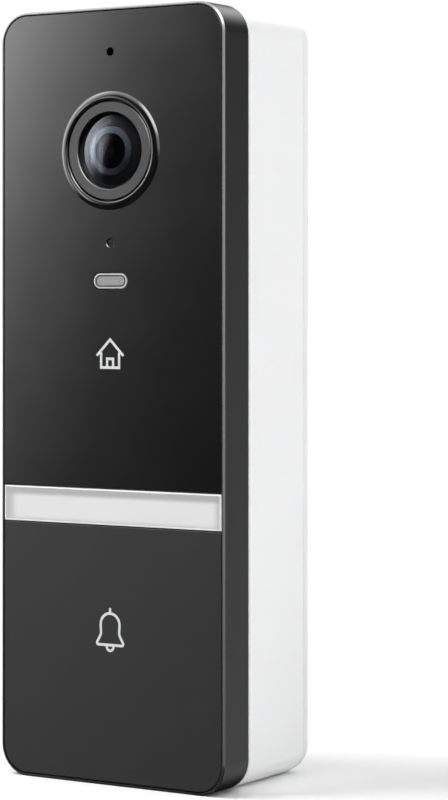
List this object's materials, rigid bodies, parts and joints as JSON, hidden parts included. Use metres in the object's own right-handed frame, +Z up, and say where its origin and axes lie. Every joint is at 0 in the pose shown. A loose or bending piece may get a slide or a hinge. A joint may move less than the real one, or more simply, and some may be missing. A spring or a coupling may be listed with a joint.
{
  "type": "video doorbell",
  "caption": "Slim upright battery video doorbell with a camera above a light bar and a large call button, a slide-out battery pack and a hook-on wall bracket.",
  "frame": {"origin": "middle of the base, at the bottom of the bounding box", "axes": "+X to the right seen from the front, -Y out of the front face, +Z up"},
  "size_m": [0.052, 0.0326, 0.15],
  "materials": {
    "antenna_metal": "stamped",
    "aperture_metal": "satin",
    "black_satin_plastic": "satin",
    "bracket_plastic": "matt",
    "brass_plate": "plated",
    "button_grey": "moulded",
    "cell_wrap": "shrink film",
    "chip_black": "moulded",
    "circuit_board": "solder resist",
    "clear_plastic": "clear",
    "coil_plastic": "moulded",
    "cone_film": "film",
    "dark_satin_ring": "anodised satin",
    "filter_glass": "coated",
    "gasket_rubber": "foam",
    "gloss_black_plastic": "polished",
    "gold_contact": "gold plated",
    "inner_black_plastic": "matt",
    "inner_glass": "coated",
    "latch_plastic": "moulded",
    "led_plastic": "moulded",
    "lens_glass": "coated",
    "matt_black_plastic": "fine matt texture",
    "milky_diffuser": "translucent",
    "nickel": "nickel",
    "pack_plastic": "moulded",
    "print_grey": "printed",
    "ribbon_film": "film",
    "screw_steel": "machined",
    "seal_rubber": "silicone",
    "seam_rubber": "moulded",
    "sensor_chip": "smooth",
    "speaker_plastic": "moulded",
    "terminal_plastic": "moulded",
    "tinned_steel": "tinned",
    "white_plastic": "smooth satin",
    "window_diffuser": "grainy translucent",
    "window_rim_plastic": "bright edge"
  },
  "bodies": {
    "doorbell": {"antenna": "antenna_metal", "aperture_ring": "aperture_metal", "bar_leds": "led_plastic", "battery_contacts": "gold_contact", "board_parts": "chip_black", "button_board": "circuit_board", "button_seal": "seal_rubber", "camera_board": "circuit_board", "fascia_panel": "gloss_black_plastic", "filter_coil": "coil_plastic", "front_frame": "black_satin_plastic", "front_lens": "lens_glass", "housing_gasket": "seam_rubber", "housing_screws": "screw_steel", "image_sensor": "sensor_chip", "infrared_leds": "clear_plastic", "inner_lenses": "inner_glass", "inner_screws": "screw_steel", "lens_barrel": "inner_black_plastic", "lens_holder": "inner_black_plastic", "lens_trim_ring": "dark_satin_ring", "light_bar": "milky_diffuser", "main_board": "circuit_board", "microphone": "tinned_steel", "motion_sensors": "tinned_steel", "panel_mark": "print_grey", "rear_housing": "white_plastic", "ribbon_cables": "ribbon_film", "sensor_boards": "circuit_board", "sensor_chips": "chip_black", "sensor_light_pipe": "clear_plastic", "shield_can": "tinned_steel", "sound_gaskets": "gasket_rubber", "speaker": "speaker_plastic", "speaker_cone": "cone_film", "status_window": "window_diffuser", "status_window_rim": "window_rim_plastic", "tact_switch": "chip_black", "terminal_block": "terminal_plastic", "terminal_plates": "brass_plate"},
    "call_button": {"call_button": "matt_black_plastic", "bell_icon": "print_grey"},
    "switch_plunger": {"switch_plunger": "button_grey"},
    "infrared_filter": {"filter_carrier": "inner_black_plastic", "filter_panes": "filter_glass"},
    "reset_button": {"reset_button": "button_grey"},
    "terminal_screw_left": {"terminal_screw_left": "screw_steel"},
    "terminal_screw_right": {"terminal_screw_right": "screw_steel"},
    "battery_pack": {"battery_case": "pack_plastic", "battery_end_cap": "white_plastic", "battery_cells": "cell_wrap", "battery_strips": "nickel", "battery_boards": "circuit_board", "battery_terminals": "gold_contact", "charge_port": "tinned_steel", "battery_latch": "latch_plastic"},
    "port_flap": {"port_flap": "button_grey"},
    "release_button": {"release_button": "button_grey"},
    "wall_bracket": {"mount_bracket": "bracket_plastic", "bracket_catch": "bracket_plastic"}
  },
  "joints": [
    {"name": "call_button_press", "type": "slide", "parent": "doorbell", "child": "call_button", "axis": [0, 1, 0], "range_m": [0, 0.0003], "stiffness_N_per_m": 4000, "springref_m": -0.0005, "deforming": ["button_seal"]},
    {"name": "switch_plunger_press", "type": "slide", "parent": "doorbell", "child": "switch_plunger", "axis": [0, 1, 0], "range_m": [0, 0.0003]},
    {"name": "infrared_filter_slide", "type": "slide", "parent": "doorbell", "child": "infrared_filter", "axis": [-1, 0, 0], "range_m": [0, 0.0056]},
    {"name": "reset_button_press", "type": "slide", "parent": "doorbell", "child": "reset_button", "axis": [0, -1, 0], "range_m": [0, 0.0005], "stiffness_N_per_m": 800, "springref_m": -0.0005},
    {"name": "terminal_screw_left_turn", "type": "hinge", "parent": "doorbell", "child": "terminal_screw_left", "pos_m": [-0.0042, 0.0115, 0.103], "axis": [0, 1, 0], "continuous": true},
    {"name": "terminal_screw_right_turn", "type": "hinge", "parent": "doorbell", "child": "terminal_screw_right", "pos_m": [0.0042, 0.0115, 0.103], "axis": [0, 1, 0], "continuous": true},
    {"name": "battery_slide", "type": "slide", "parent": "doorbell", "child": "battery_pack", "axis": [0, 0, -1], "range_m": [0, 0.082], "deforming": ["battery_latch"]},
    {"name": "port_flap_hinge", "type": "hinge", "parent": "battery_pack", "child": "port_flap", "pos_m": [-0.01443, 0.002, 0.00063], "axis": [0, 1, 0], "range_deg": [0, 95]},
    {"name": "release_button_press", "type": "slide", "parent": "battery_pack", "child": "release_button", "axis": [0, 0, 1], "range_m": [0, 0.0012], "stiffness_N_per_m": 600, "springref_m": -0.0005, "deforming": ["battery_latch"]},
    {"name": "wall_bracket_slide", "type": "slide", "parent": "doorbell", "child": "wall_bracket", "axis": [0, 0, -1], "range_m": [0, 0.007], "deforming": ["bracket_catch"]}
  ],
  "couplings": [
    {"joint": "switch_plunger_press", "follows": "call_button_press", "ratio": 1}
  ]
}
